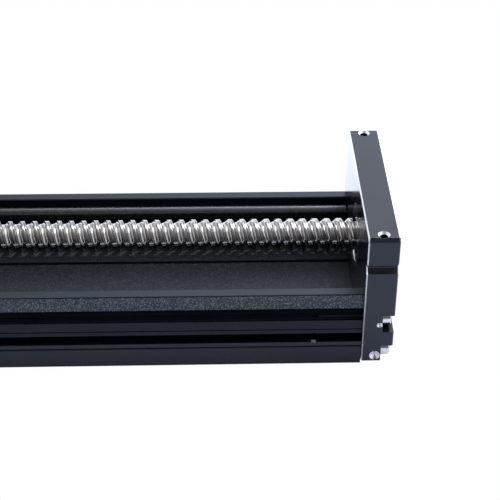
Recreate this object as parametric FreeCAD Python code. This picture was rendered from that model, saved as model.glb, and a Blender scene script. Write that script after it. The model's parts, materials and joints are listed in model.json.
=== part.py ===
import FreeCAD, Part

import math
import os

# Ball screw linear axis: a black anodised rail with two buried guide rods, a support plate at the
# +X end, a drive block at the -X end, a rolled ball screw between them, and a carriage that rolls
# on the rods. Millimetres. X runs along the rail, Y across it, Z up. The origin is the middle of
# the rail's underside.

V = FreeCAD.Vector
AXIS_X = V(1, 0, 0)
AXIS_Y = V(0, 1, 0)
AXIS_Z = V(0, 0, 1)

# ---- driving dimensions ----
RAIL_LENGTH = 300.0
RAIL_END = RAIL_LENGTH / 2
LOWER_HALF = 32.4        # half width of the rail below the cove
WALL_OUTER = 30.9        # half width of the rail above the cove
WALL_INNER = 27.0
WALL_TOP = 26.6
FLOOR_Z = 8.1
LEDGE_Z = 9.0
LEDGE_Y = 14.6

PLATE_HALF = 34.0
PLATE_BOTTOM = 2.1
PLATE_TOP = 49.5
PLATE_THICK = 10.0
BLOCK_THICK = 30.0
PLATE_CHAMFER = 1.2
EDGE_BREAK = 0.4

SCREW_Z = 28.5
SCREW_R = 5.85
PITCH = 4.0
STARTS = 2
LEAD = PITCH * STARTS     # travel for one turn of the screw
NUT_BALL_R = 1.19
NUT_BALL_CIRCLE = 6.1
GROOVE_R = 1.30          # ball groove radius, in the screw and in the nut
THREAD_START = -151.0
THREAD_PITCHES = 75

ROD_R = 2.5
ROD_Z = 21.1
FIT = 0.03               # radial running clearance
PRESS_GAP = 0.05         # gap left between pieces that are pressed or screwed together
SMALL_CHAMFER = 0.3
CHAMFER = 0.5
PAST = 1.0               # how far a cutting tool runs past the face it opens
SAME = 1e-6              # lengths closer than this are the same

CARRIAGE_X = -30.0       # carriage centre at rest
CARRIAGE_HALF = 40.0
CARRIAGE_HALF_WIDTH = 25.5
CARRIAGE_UNDERSIDE = 25.4
CARRIAGE_TOP = 44.0
TABLE_TOP = 52.0
TABLE_HALF_WIDTH = 30.0

# ---- standard parts ----
M3_R = 1.5
M3_TAP_R = 1.25
M3_CLEAR_R = 1.7
M3_HEAD_R = 2.75
M3_HEAD_H = 3.0
M4_R = 2.0
M4_TAP_R = 1.65
M4_CLEAR_R = 2.25
M4_HEAD_R = 3.5
M4_HEAD_H = 4.0
M5_TAP_R = 2.1
M2_R = 1.0
KEY_SIZE_SHARE = 0.92    # hexagon across flats, of the head radius
KEY_DEPTH_SHARE = 0.55   # hexagon depth, of the head height

THREAD_END = THREAD_START + THREAD_PITCHES * PITCH
ROLLER_ROOT_R = 5.5
ROLLER_OUTER_R = 7.3
ROLLER_H = 7.0
ROLLER_Y = WALL_INNER - ROD_R - FIT - ROLLER_ROOT_R
ROLLER_DX = 26.0
ROLLER_BALL_CIRCLE = 3.95
ROLLER_BALL_R = 0.75

SUPPORT_BEARING = {"x": 150.1, "width": 7.0, "outer": 11.0, "bore": 4.0,
                   "circle": 7.5, "ball": 1.98, "land_in": 6.1, "land_out": 8.9, "balls": 7}
DRIVE_BEARING_WIDTH = 8.0
DRIVE_BEARINGS = [{"x": x, "width": DRIVE_BEARING_WIDTH, "outer": 13.0, "bore": 5.0,
                   "circle": 9.0, "ball": 2.36, "land_in": 7.4, "land_out": 10.6, "balls": 10}
                  for x in (-178.0, -170.0)]
BALL_GAP = 0.06          # between each ball and its races
POCKET_GAP = 0.05        # between each ball and its cage
CAGE_RIM = 0.5           # cage width beyond a ball, on each side
CAGE_GAP = 0.25          # between the cage and the rings
SHIELD_SET_BACK = 0.2
SHIELD_T = 0.3
SHIELD_GAP = 0.1

RAIL_BOLT_Y = 29.6
RAIL_BOLT_Z = (5.2, 17.0)
RAIL_BOLT_DEPTH = 16.0
SCREW_GRIP = 14.0        # length of rail screw inside the rail
BOLT_POCKET_R = 3.25
BOLT_POCKET_DEPTH = 3.8
BLOCK_POCKET_DEPTH = 18.0

NODES = {}


# ---- helpers ----
def bar(x0, x1, r, y=0.0, z=SCREW_Z):
    """Round bar along X."""
    return Part.makeCylinder(r, x1 - x0, V(x0, y, z), AXIS_X)


def tube(x0, x1, r_out, r_in, y=0.0, z=SCREW_Z):
    """Ring or tube along X."""
    return bar(x0, x1, r_out, y, z).cut(bar(x0 - PAST, x1 + PAST, r_in, y, z))


def post(x, y, z0, z1, r):
    """Round post along Z."""
    return Part.makeCylinder(r, z1 - z0, V(x, y, z0), AXIS_Z)


def pin(x, y0, y1, z, r):
    """Round pin along Y."""
    return Part.makeCylinder(r, y1 - y0, V(x, y0, z), AXIS_Y)


def box(x0, x1, y0, y1, z0, z1):
    return Part.makeBox(x1 - x0, y1 - y0, z1 - z0, V(x0, y0, z0))


def hexagon(across_flats, height, base, axis):
    """Hexagonal prism from base along axis."""
    r = across_flats / math.sqrt(3)
    corners = [V(r * math.cos(k * math.pi / 3), r * math.sin(k * math.pi / 3), 0) for k in range(7)]
    prism = Part.Face(Part.makePolygon(corners)).extrude(V(0, 0, height))
    prism.Placement = FreeCAD.Placement(base, FreeCAD.Rotation(AXIS_Z, axis))
    return prism


def socket_screw(seat, out, shank_r, head_r, head_h, length):
    """Socket head screw: the head stands on seat and points along out."""
    head = Part.makeCylinder(head_r, head_h, seat, out)
    head = head.makeChamfer(SMALL_CHAMFER, [e for e in head.Edges if on_plane(e, seat + out * head_h, out)])
    shank = Part.makeCylinder(shank_r, length, seat, out * -1)
    key_depth = KEY_DEPTH_SHARE * head_h
    socket = hexagon(head_r * KEY_SIZE_SHARE, key_depth, seat + out * (head_h - key_depth), out)
    return head.fuse(shank).cut(socket).removeSplitter()


def on_plane(edge, point, normal):
    """True when the whole edge lies on the plane through point."""
    return all(abs((v.Point - point).dot(normal)) < SAME for v in edge.Vertexes)


def mirrored_y(shape):
    return shape.mirror(V(0, 0, 0), AXIS_Y)


def outline(start, steps):
    """Edges in the YZ plane at X = 0: a step is a point for a line, or a pair of points for an arc."""
    edges = []
    here = V(0, *start)
    for step in steps:
        if isinstance(step[0], tuple):
            there = V(0, *step[1])
            edges.append(Part.Arc(here, V(0, *step[0]), there).toShape())
        else:
            there = V(0, *step)
            edges.append(Part.makeLine(here, there))
        here = there
    return edges


def symmetric_bar(half_edges, x0, x1):
    """Solid along X from the +Y half of its outline."""
    edges = half_edges + [mirrored_y(e) for e in half_edges]
    face = Part.Face(Part.Wire(Part.__sortEdges__(edges)))
    face.translate(V(x0, 0, 0))
    return face.extrude(V(x1 - x0, 0, 0))


def helix_angle(x, start):
    """Angle about the screw axis, from +Y towards +Z, of the middle of one start's groove at x."""
    return 2 * math.pi * ((x - THREAD_START) / LEAD + start / STARTS)


def cut_all(solid, tools):
    return solid.cut(Part.makeCompound(tools)).removeSplitter()


def keep(name, *solids):
    NODES[name] = solids[0] if len(solids) == 1 else Part.makeCompound(list(solids))


# ---- rail ----
SLOT_Z = (9.1, 12.6)
SLOT_LIP_Y = 31.0
SLOT_BACK_Y = 28.4
SLOT_CAVITY_Z = (7.85, 13.85)
COVE_Z = (17.6, 21.3)
COVE_DEEPEST = (30.0, 19.1)
FOOT_CHAMFER = 0.6
LEDGE_CHAMFER = 0.6
LIP_CHAMFER = 0.2
V_GROOVE = (0.55, 0.35, 0.5)    # distance under the slot, half width, depth
LINE_GROOVE = (0.3, 0.2, 0.3)   # distance over the slot, half width, depth
CHAMBER = (10.0, 2.6, 5.6)      # half width, bottom and top of the hollow under the floor
BASE_BOLT_X = 100.0
BASE_BOLT_Y = 20.0
BASE_BOLT_DEPTH = 6.4
SLOT_HOLE_X = 134.5
SLOT_HOLE_R = 1.9


def v_groove(z, half, depth):
    """Points of a V groove in the side face below the cove."""
    return [(LOWER_HALF, z - half), (LOWER_HALF - depth, z), (LOWER_HALF, z + half)]


def rail_outline():
    low, high = SLOT_CAVITY_Z
    under, half_under, deep_under = V_GROOVE
    over, half_over, deep_over = LINE_GROOVE
    rod_low = ROD_Z - ROD_R
    rod_high = ROD_Z + ROD_R
    return outline((0, 0), [
        (LOWER_HALF - FOOT_CHAMFER, 0), (LOWER_HALF, FOOT_CHAMFER),
        *v_groove(low - under, half_under, deep_under),
        (LOWER_HALF, SLOT_Z[0]), (SLOT_LIP_Y, SLOT_Z[0]), (SLOT_LIP_Y, low),
        (SLOT_BACK_Y, low), (SLOT_BACK_Y, high), (SLOT_LIP_Y, high),
        (SLOT_LIP_Y, SLOT_Z[1]), (LOWER_HALF, SLOT_Z[1]),
        *v_groove(high + over, half_over, deep_over),
        (LOWER_HALF, COVE_Z[0]), (COVE_DEEPEST, (WALL_OUTER, COVE_Z[1])),
        (WALL_OUTER, WALL_TOP - SMALL_CHAMFER), (WALL_OUTER - SMALL_CHAMFER, WALL_TOP),
        (WALL_INNER + SMALL_CHAMFER, WALL_TOP), (WALL_INNER, WALL_TOP - SMALL_CHAMFER),
        (WALL_INNER, rod_high), ((WALL_INNER + ROD_R, ROD_Z), (WALL_INNER, rod_low)),
        (WALL_INNER, LEDGE_Z + LEDGE_CHAMFER), (WALL_INNER - LEDGE_CHAMFER, LEDGE_Z),
        (LEDGE_Y + LIP_CHAMFER, LEDGE_Z), (LEDGE_Y, LEDGE_Z - LIP_CHAMFER), (LEDGE_Y, FLOOR_Z),
        (0, FLOOR_Z)])


def rail_bolt_places():
    return [(side * RAIL_BOLT_Y, z) for side in (-1, 1) for z in RAIL_BOLT_Z]


def base_rail():
    rail = symmetric_bar(rail_outline(), -RAIL_END, RAIL_END)
    half, low, high = CHAMBER
    tools = [box(-RAIL_END - PAST, RAIL_END + PAST, -half, half, low, high)]
    for y, z in rail_bolt_places():
        tools.append(bar(RAIL_END - RAIL_BOLT_DEPTH, RAIL_END + PAST, M3_R, y, z))
        tools.append(bar(-RAIL_END - PAST, -RAIL_END + RAIL_BOLT_DEPTH, M3_R, y, z))
    for sx in (-1, 1):
        for sy in (-1, 1):
            tools.append(post(sx * BASE_BOLT_X, sy * BASE_BOLT_Y, -1, BASE_BOLT_DEPTH, M5_TAP_R))
    slot_middle = sum(SLOT_Z) / 2
    tools.append(pin(SLOT_HOLE_X, -LOWER_HALF - PAST, -SLOT_LIP_Y + LIP_CHAMFER, slot_middle, SLOT_HOLE_R))
    tools.append(pin(SLOT_HOLE_X, -SLOT_BACK_Y - PAST, -WALL_INNER + PAST, slot_middle, M3_TAP_R))
    return cut_all(rail, tools)


def guide_rod(side):
    rod = bar(-RAIL_END, RAIL_END, ROD_R, side * WALL_INNER, ROD_Z)
    return rod.makeChamfer(SMALL_CHAMFER, [e for e in rod.Edges if abs(e.BoundBox.XLength) < SAME])


# ---- end plate and drive block ----
BAND_Z = (36.5, 39.7)
BAND_DEPTH = 1.6
COVER_HOLE_Y = 31.2
COVER_HOLE_DEPTH = 8.0
PLUG_R = 9.0
PLUG_THICK = 1.4
COUNTERSINK = 0.7
BREAKOUT_TIP_R = 0.15
# Tool run-outs: distance from the plate's inner face, height, mouth radius, depth
BREAKOUTS = ((5.3, 16.7, 0.95, 0.7), (4.3, 4.6, 1.7, 1.1))
BLOCK_BORE_R = 8.0
BRACKET_HOLE_DEPTH = 10.0
COVER_SCREW_DEPTH = 9.0
BLOCK_LEFT = -RAIL_END - BLOCK_THICK
BRACKET_BOLT = (25.0, 16.0)


def plate_outline():
    band_mid = sum(BAND_Z) / 2
    return outline((0, PLATE_BOTTOM), [
        (PLATE_HALF - CHAMFER, PLATE_BOTTOM), (PLATE_HALF, PLATE_BOTTOM + CHAMFER),
        (PLATE_HALF, BAND_Z[0]), ((PLATE_HALF - BAND_DEPTH, band_mid), (PLATE_HALF, BAND_Z[1])),
        (PLATE_HALF, PLATE_TOP - PLATE_CHAMFER), (PLATE_HALF - PLATE_CHAMFER, PLATE_TOP),
        (0, PLATE_TOP)])


def broken_edges(solid, x):
    """Chamfers the rim of the solid's face at x."""
    boxes = [(f, f.BoundBox) for f in solid.Faces]
    face = [f for f, b in boxes if abs(b.XLength) < SAME and abs(b.XMin - x) < SAME][0]
    return solid.makeChamfer(EDGE_BREAK, face.OuterWire.Edges)


def cover_hole(x, side):
    """Tapped hole with a countersunk mouth in the top of a plate."""
    y = side * COVER_HOLE_Y
    start = V(x, y, PLATE_TOP - COUNTERSINK)
    mouth = Part.makeCone(M3_TAP_R, M3_TAP_R + COUNTERSINK, COUNTERSINK, start, AXIS_Z)
    return post(x, y, PLATE_TOP - COVER_HOLE_DEPTH, PLATE_TOP + PAST, M3_TAP_R).fuse(mouth)


def open_pocket(y, z):
    """Bolt head pocket that is milled out through the plate's side face."""
    seat = RAIL_END + PLATE_THICK - BOLT_POCKET_DEPTH
    end = RAIL_END + PLATE_THICK + PAST
    outside = math.copysign(PLATE_HALF + PAST, y)
    slot = box(seat, end, min(y, outside), max(y, outside), z - BOLT_POCKET_R, z + BOLT_POCKET_R)
    return bar(seat, end, BOLT_POCKET_R, y, z).fuse(slot)


def breakout(side, x, z, r, depth):
    """Shallow cone where the tool ran out through the side face."""
    base = V(x, side * (PLATE_HALF - depth), z)
    return Part.makeCone(BREAKOUT_TIP_R, r, depth, base, AXIS_Y * side)


def end_plate():
    plate = symmetric_bar(plate_outline(), RAIL_END, RAIL_END + PLATE_THICK)
    plate = broken_edges(broken_edges(plate, RAIL_END), RAIL_END + PLATE_THICK)
    bearing = SUPPORT_BEARING
    outer_face = RAIL_END + PLATE_THICK
    tools = [bar(RAIL_END - PAST, bearing["x"] + bearing["width"], bearing["outer"]),
             bar(RAIL_END - PAST, outer_face + PAST, PLUG_R)]
    for y, z in rail_bolt_places():
        tools.append(open_pocket(y, z))
        tools.append(bar(RAIL_END - PAST, outer_face, M3_CLEAR_R, y, z))
    for side in (-1, 1):
        tools.append(cover_hole(RAIL_END + PLATE_THICK / 2, side))
        for x, z, r, depth in BREAKOUTS:
            tools.append(breakout(side, RAIL_END + x, z, r, depth))
    return cut_all(plate, tools)


def drive_block():
    block = symmetric_bar(plate_outline(), BLOCK_LEFT, -RAIL_END)
    block = broken_edges(broken_edges(block, BLOCK_LEFT), -RAIL_END)
    first = DRIVE_BEARINGS[0]
    seat_end = DRIVE_BEARINGS[-1]["x"] + DRIVE_BEARING_WIDTH
    tools = [bar(BLOCK_LEFT - PAST, seat_end, first["outer"]),
             bar(BLOCK_LEFT, -RAIL_END + PAST, BLOCK_BORE_R)]
    for y, z in rail_bolt_places():
        tools.append(bar(BLOCK_LEFT - PAST, BLOCK_LEFT + BLOCK_POCKET_DEPTH, BOLT_POCKET_R, y, z))
        tools.append(bar(BLOCK_LEFT, -RAIL_END + PAST, M3_CLEAR_R, y, z))
    for side in (-1, 1):
        tools.append(cover_hole(-RAIL_END - BLOCK_THICK / 2, side))
    for y, z in bracket_bolt_places():
        tools.append(bar(BLOCK_LEFT - PAST, BLOCK_LEFT + BRACKET_HOLE_DEPTH, M4_TAP_R, y, z))
    for y, z in cover_screw_places():
        tools.append(bar(BLOCK_LEFT - PAST, BLOCK_LEFT + COVER_SCREW_DEPTH, M3_R, y, z))
    for y, z in bumper_places():
        tools.append(bar(-RAIL_END - BUMPER_STEM, -RAIL_END + PAST, BUMPER_STEM_R, y, z))
    return cut_all(block, tools)


def bracket_bolt_places():
    return [(sy * BRACKET_BOLT[0], SCREW_Z + sz * BRACKET_BOLT[1]) for sy in (-1, 1) for sz in (-1, 1)]


# ---- drive side bumpers, bearing cover and seal ----
BUMPER_R = 4.0
BUMPER_STEM_R = 1.5
BUMPER_T = 3.0
BUMPER_STEM = 3.0
BUMPER_ROUND = 0.8
DRIVE_BUMPER = (18.0, 36.0)
COVER_R = 19.0
COVER_SCREW_R = 16.0
COVER_PLATE = (-183.5, BLOCK_LEFT)
COVER_BORE_R = 8.0
SEAL_R = 9.5
SEAL_T = 2.4
SEAL_LIP = (0.5, 0.7, 0.8)     # depth of the dish, width of its outer and inner rims
SPACER_R = 7.0


def bumper_places():
    return [(side * DRIVE_BUMPER[0], DRIVE_BUMPER[1]) for side in (-1, 1)]


def bumper(x, direction, y, z):
    """Rubber stop with a stem, standing on the face at x."""
    body = Part.makeCylinder(BUMPER_R, BUMPER_T, V(x, y, z), AXIS_X * direction)
    stem = Part.makeCylinder(BUMPER_STEM_R, BUMPER_STEM, V(x, y, z), AXIS_X * -direction)
    rim = [e for e in body.Edges if on_plane(e, V(x + direction * BUMPER_T, y, z), AXIS_X)]
    return body.makeFillet(BUMPER_ROUND, rim).fuse(stem)


def cover_screw_places():
    angles = [math.radians(45 + 90 * k) for k in range(4)]
    return [(COVER_SCREW_R * math.cos(a), SCREW_Z + COVER_SCREW_R * math.sin(a)) for a in angles]


def bearing_cover():
    left, right = COVER_PLATE
    disc = bar(left, right, COVER_R)
    disc = disc.makeChamfer(CHAMFER, [e for e in disc.Edges if on_plane(e, V(left, 0, 0), AXIS_X)])
    bearing = DRIVE_BEARINGS[0]
    spigot = bar(right, bearing["x"], bearing["outer"] - PRESS_GAP)
    tools = [bar(left - PAST, bearing["x"] + PAST, COVER_BORE_R),
             bar(left - PAST, left + SEAL_T + FIT, SEAL_R)]
    for y, z in cover_screw_places():
        tools.append(bar(left - PAST, right + PAST, M3_CLEAR_R, y, z))
    return cut_all(disc.fuse(spigot), tools)


def shaft_seal():
    left = COVER_PLATE[0]
    depth, outer_rim, inner_rim = SEAL_LIP
    ring = tube(left, left + SEAL_T, SEAL_R, SPACER_R + PRESS_GAP)
    groove = tube(left - PAST, left + depth, SEAL_R - outer_rim, SPACER_R + inner_rim)
    return ring.cut(groove)


# ---- ball bearings ----
def race_groove(bearing):
    middle = bearing["x"] + bearing["width"] / 2
    return Part.makeTorus(bearing["circle"], bearing["ball"] + BALL_GAP, V(middle, 0, SCREW_Z), AXIS_X)


def race(bearing, r_out, r_in):
    x0 = bearing["x"]
    x1 = x0 + bearing["width"]
    ring = tube(x0, x1, r_out, r_in)
    rims = [e for e in ring.Edges if on_plane(e, V(x0, 0, 0), AXIS_X) or on_plane(e, V(x1, 0, 0), AXIS_X)]
    fitted_r = r_out if r_in > bearing["circle"] else r_in
    fitted = [e for e in rims if abs(e.Curve.Radius - fitted_r) < SAME]
    return ring.makeChamfer(SMALL_CHAMFER, fitted).cut(race_groove(bearing))


def outer_ring(bearing):
    return race(bearing, bearing["outer"], bearing["land_out"])


def inner_ring(bearing):
    return race(bearing, bearing["land_in"], bearing["bore"])


def ball_places(bearing):
    middle = bearing["x"] + bearing["width"] / 2
    step = 2 * math.pi / bearing["balls"]
    r = bearing["circle"]
    angles = [k * step for k in range(bearing["balls"])]
    return [V(middle, r * math.cos(a), SCREW_Z + r * math.sin(a)) for a in angles]


def bearing_balls(bearing):
    return [Part.makeSphere(bearing["ball"], place) for place in ball_places(bearing)]


def bearing_cage(bearing):
    """Ring between the races with a round pocket for each ball."""
    middle = bearing["x"] + bearing["width"] / 2
    reach = bearing["ball"] + CAGE_RIM
    outer = bearing["land_out"] - CAGE_GAP
    ring = tube(middle - reach, middle + reach, outer, bearing["land_in"] + CAGE_GAP)
    pockets = [Part.makeSphere(bearing["ball"] + POCKET_GAP, place) for place in ball_places(bearing)]
    return cut_all(ring, pockets)


def bearing_shields(bearing):
    x0 = bearing["x"]
    x1 = x0 + bearing["width"]
    inner = bearing["land_in"] + SHIELD_GAP
    starts = (x0 + SHIELD_SET_BACK, x1 - SHIELD_SET_BACK - SHIELD_T)
    return [tube(x, x + SHIELD_T, bearing["land_out"], inner) for x in starts]


# ---- screw ----
SUPPORT_JOURNAL_R = 4.0
DRIVE_JOURNAL_R = 4.0
SUPPORT_JOURNAL_END = 158.3
CIRCLIP_X = 157.3
CIRCLIP_T = 0.8
CIRCLIP_GROOVE_R = 3.7
CIRCLIP_R = 5.3
CIRCLIP_EAR = (2.2, 5.0, 1.0, 0.4)   # Y, height over the axis, radius, hole radius
CIRCLIP_GAP_HALF = 1.2
COLLAR_R = 4.7
BEARING_SEAT_END = -193.0
DRIVE_JOURNAL_END = -213.0
LOCK_NUT = (-192.0, -184.5)
LOCK_NUT_R = 9.0
LOCK_NUT_SLOTS = 4
LOCK_NUT_SLOT = (1.75, 1.6)     # half width, depth
SET_SCREW_KEY = (1.5, 1.5)      # across flats, depth
GROOVE_STEPS = 24


def groove_section_points(x, start):
    """One start's ball groove, cut square to the screw axis at x."""
    reach = math.sqrt(GROOVE_R ** 2 - (NUT_BALL_CIRCLE - SCREW_R) ** 2)
    points = []
    for k in range(GROOVE_STEPS + 1):
        along = reach * (2 * k / GROOVE_STEPS - 1)
        r = NUT_BALL_CIRCLE - math.sqrt(GROOVE_R ** 2 - along ** 2)
        angle = 2 * math.pi * (start / STARTS - along / LEAD)
        points.append(V(x, r * math.cos(angle), r * math.sin(angle)))
    return points


def thread_section(x):
    grooves = [groove_section_points(x, start) for start in range(STARTS)]
    edges = []
    for start, points in enumerate(grooves):
        curve = Part.BSplineCurve()
        curve.interpolate(points)
        angle = 2 * math.pi * (start - 0.5) / STARTS
        top = V(x, SCREW_R * math.cos(angle), SCREW_R * math.sin(angle))
        edges += [curve.toShape(), Part.Arc(points[-1], top, grooves[start - 1][0]).toShape()]
    return Part.Wire(Part.__sortEdges__(edges))


def one_pitch():
    """The groove and land faces of one pitch, about the X axis from X = 0."""
    helix = Part.makeHelix(LEAD, PITCH, SCREW_R)
    helix.rotate(V(0, 0, 0), AXIS_Y, 90)
    sweep = Part.BRepOffsetAPI.MakePipeShell(Part.Wire(Part.makeLine(V(0, 0, 0), V(PITCH, 0, 0))))
    sweep.setAuxiliarySpine(helix, True, 0)
    sweep.add(thread_section(0))
    sweep.build()
    return sweep.shape().Faces


def threaded_bar():
    pitch = one_pitch()
    faces = [Part.Face(thread_section(0)), Part.Face(thread_section(THREAD_PITCHES * PITCH))]
    for k in range(THREAD_PITCHES):
        faces += [face.translated(V(k * PITCH, 0, 0)) for face in pitch]
    skin = Part.makeCompound(faces)
    skin.sewShape()
    solid = Part.Solid(skin.Shells[0])
    if solid.Volume < 0:
        solid.reverse()
    return solid.translated(V(THREAD_START, 0, SCREW_Z))


def screw_shaft():
    thread = threaded_bar()
    support = bar(THREAD_END, SUPPORT_BEARING["x"], COLLAR_R)
    support = support.fuse(bar(THREAD_END, SUPPORT_JOURNAL_END, SUPPORT_JOURNAL_R))
    support = support.cut(tube(CIRCLIP_X, CIRCLIP_X + CIRCLIP_T, CIRCLIP_R, CIRCLIP_GROOVE_R))
    drive = bar(BEARING_SEAT_END, THREAD_START, DRIVE_BEARINGS[0]["bore"])
    tip = bar(DRIVE_JOURNAL_END, BEARING_SEAT_END, DRIVE_JOURNAL_R)
    tip = tip.makeChamfer(CHAMFER, [e for e in tip.Edges if on_plane(e, V(DRIVE_JOURNAL_END, 0, 0), AXIS_X)])
    return thread.fuse([support, drive, tip]).removeSplitter()


def circlip():
    y, up, ear_r, hole_r = CIRCLIP_EAR
    x0 = CIRCLIP_X + PRESS_GAP
    x1 = CIRCLIP_X + CIRCLIP_T - PRESS_GAP
    ring = tube(x0, x1, CIRCLIP_R, CIRCLIP_GROOVE_R)
    gap = box(x0 - PAST, x1 + PAST, -CIRCLIP_GAP_HALF, CIRCLIP_GAP_HALF, SCREW_Z, SCREW_Z + CIRCLIP_R + PAST)
    ears = [bar(x0, x1, ear_r, s * y, SCREW_Z + up) for s in (-1, 1)]
    holes = [bar(x0 - PAST, x1 + PAST, hole_r, s * y, SCREW_Z + up) for s in (-1, 1)]
    return cut_all(ring.cut(gap).fuse(ears), holes)


def lock_nut():
    left, right = LOCK_NUT
    nut = tube(left, right, LOCK_NUT_R, DRIVE_BEARINGS[0]["bore"])
    rims = [e for e in nut.Edges if on_plane(e, V(left, 0, 0), AXIS_X) or on_plane(e, V(right, 0, 0), AXIS_X)]
    nut = nut.makeChamfer(CHAMFER, [e for e in rims if abs(e.Curve.Radius - LOCK_NUT_R) < SAME])
    half, depth = LOCK_NUT_SLOT
    rim = SCREW_Z + LOCK_NUT_R
    tools = []
    for k in range(LOCK_NUT_SLOTS):
        slot = box(left - PAST, right + PAST, -half, half, rim - depth, rim + PAST)
        slot.rotate(V(0, 0, SCREW_Z), AXIS_X, (k + 0.5) * 360 / LOCK_NUT_SLOTS)
        tools.append(slot)
    tools.append(post((left + right) / 2, 0, SCREW_Z + DRIVE_BEARINGS[0]["bore"], rim + PAST, M3_R))
    return cut_all(nut, tools)


def lock_nut_set_screw():
    x = sum(LOCK_NUT) / 2
    bottom = SCREW_Z + DRIVE_BEARINGS[0]["bore"]
    top = SCREW_Z + LOCK_NUT_R - SMALL_CHAMFER
    across, depth = SET_SCREW_KEY
    return post(x, 0, bottom, top, M3_R).cut(hexagon(across, depth + PAST, V(x, 0, top - depth), AXIS_Z))


# ---- ball nut ----
NUT_R = 11.0
NUT_BORE_R = 6.0
NUT_START = CARRIAGE_X - CARRIAGE_HALF       # the flange's inner face
NUT_BODY_LENGTH = 27.0
FLANGE_R = 21.0
FLANGE_T = 8.0
FLANGE_FLAT = 15.0
FLANGE_BOLT = 11.3
NUT_END = NUT_START + NUT_BODY_LENGTH
FLANGE_X = NUT_START - FLANGE_T
WIPER_T = 2.2
WIPER_R = 8.5
BALL_TURNS = 1             # for each start
BALLS_PER_TURN = 15
LINK_R = 0.4
LOAD_START = NUT_START + 6.0
DEFLECTOR_R = 2.4
DEFLECTOR_FOOT = NUT_BALL_CIRCLE + GROOVE_R + 0.2     # clear of the balls
GREASE_R = 2.5
GREASE_Y = 16.5
GREASE_DEPTH = 4.5
GREASE_HEXAGON = (5.5, 1.6)
GREASE_TIP = (3.0, 1.4)         # length and radius of the button
GREASE_PORT_R = 0.5
NUT_CHAMFER = 0.6
WIPER_GAP = 0.08
FLANGE_SCREW_LENGTH = 13.5


def on_helix(x, r, start):
    angle = helix_angle(x, start)
    return V(x, r * math.cos(angle), SCREW_Z + r * math.sin(angle))


def nut_groove(number):
    """Helical tube that one start's balls run in."""
    length = (BALL_TURNS + 0.5) * LEAD
    start = LOAD_START - LEAD / 4
    helix = Part.makeHelix(LEAD, length, NUT_BALL_CIRCLE)
    helix.rotate(V(0, 0, 0), AXIS_Y, 90)
    helix.rotate(V(0, 0, 0), AXIS_X, 90 + math.degrees(helix_angle(start, number)))
    helix.translate(V(start, 0, SCREW_Z))
    first = helix.Vertexes[0].Point
    tangent = helix.Edges[0].tangentAt(helix.Edges[0].FirstParameter)
    ring = Part.Wire(Part.makeCircle(GROOVE_R, first, tangent))
    return Part.Wire(helix).makePipeShell([ring], True, True)


def deflector_places():
    turns = [(k, start) for k in range(BALL_TURNS) for start in range(STARTS)]
    return [on_helix(LOAD_START + (k + 0.5) * LEAD, 1.0, start) for k, start in turns]


def radial_pin(place, r0, r1, radius):
    """Round pin that points away from the screw axis through place."""
    centre = V(place.x, 0, SCREW_Z)
    out = (place - centre).normalize()
    return Part.makeCylinder(radius, r1 - r0, centre + out * r0, out)


def ball_nut():
    body = bar(NUT_START, NUT_END, NUT_R)
    body = body.makeChamfer(NUT_CHAMFER, [e for e in body.Edges if on_plane(e, V(NUT_END, 0, 0), AXIS_X)])
    flange = bar(FLANGE_X, NUT_START, FLANGE_R)
    flats = (SCREW_Z - FLANGE_FLAT, SCREW_Z + FLANGE_FLAT)
    flange = flange.common(box(FLANGE_X, NUT_START, -FLANGE_R, FLANGE_R, *flats))
    tools = [bar(FLANGE_X - PAST, NUT_END + PAST, NUT_BORE_R),
             bar(FLANGE_X - PAST, FLANGE_X + WIPER_T, WIPER_R),
             bar(NUT_END - WIPER_T, NUT_END + PAST, WIPER_R),
             bar(FLANGE_X - PAST, FLANGE_X + GREASE_DEPTH + CHAMFER, GREASE_R, GREASE_Y, SCREW_Z)]
    for y, z in flange_bolt_places():
        tools.append(bar(FLANGE_X - PAST, NUT_START + PAST, M4_CLEAR_R, y, z))
    for place in deflector_places():
        tools.append(radial_pin(place, DEFLECTOR_FOOT, NUT_R + PAST, DEFLECTOR_R))
    nut = cut_all(body.fuse(flange), tools)
    for start in range(STARTS):
        nut = nut.cut(nut_groove(start))
    return nut


def flange_bolt_places():
    return [(sy * FLANGE_BOLT, SCREW_Z + sz * FLANGE_BOLT) for sy in (-1, 1) for sz in (-1, 1)]


def ball_chain(x, start):
    """Balls of one turn, kept apart by the thin strip that joins them."""
    step = LEAD / BALLS_PER_TURN
    places = [on_helix(x + k * step, NUT_BALL_CIRCLE, start) for k in range(BALLS_PER_TURN)]
    balls = [Part.makeSphere(NUT_BALL_R, place) for place in places]
    links = [Part.makeCylinder(LINK_R, (b - a).Length, a, b - a) for a, b in zip(places, places[1:])]
    return balls[0].multiFuse(balls[1:] + links)


def nut_balls():
    turns = [(k, start) for k in range(BALL_TURNS) for start in range(STARTS)]
    return [ball_chain(LOAD_START + k * LEAD, start) for k, start in turns]


def ball_deflectors():
    inside = bar(NUT_START, NUT_END, NUT_R - PRESS_GAP)
    pins = [radial_pin(place, DEFLECTOR_FOOT, NUT_R + PAST, DEFLECTOR_R) for place in deflector_places()]
    return [pin.common(inside) for pin in pins]


def nut_wipers():
    bore = SCREW_R + WIPER_GAP
    starts = (FLANGE_X, NUT_END - WIPER_T)
    return [tube(x, x + WIPER_T, WIPER_R, bore) for x in starts]


def grease_nipple():
    """Button head nipple, screwed into the outer face of the nut flange."""
    seat = V(FLANGE_X, GREASE_Y, SCREW_Z)
    length, tip_r = GREASE_TIP
    end = FLANGE_X + GREASE_DEPTH
    stem = bar(FLANGE_X - length, end, tip_r, GREASE_Y, SCREW_Z)
    thread = bar(FLANGE_X, end, GREASE_R, GREASE_Y, SCREW_Z)
    collar = hexagon(*GREASE_HEXAGON, seat, AXIS_X * -1)
    port = bar(FLANGE_X - length - PAST, FLANGE_X - PAST, GREASE_PORT_R, GREASE_Y, SCREW_Z)
    return thread.fuse([stem, collar]).cut(port).removeSplitter()


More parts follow.
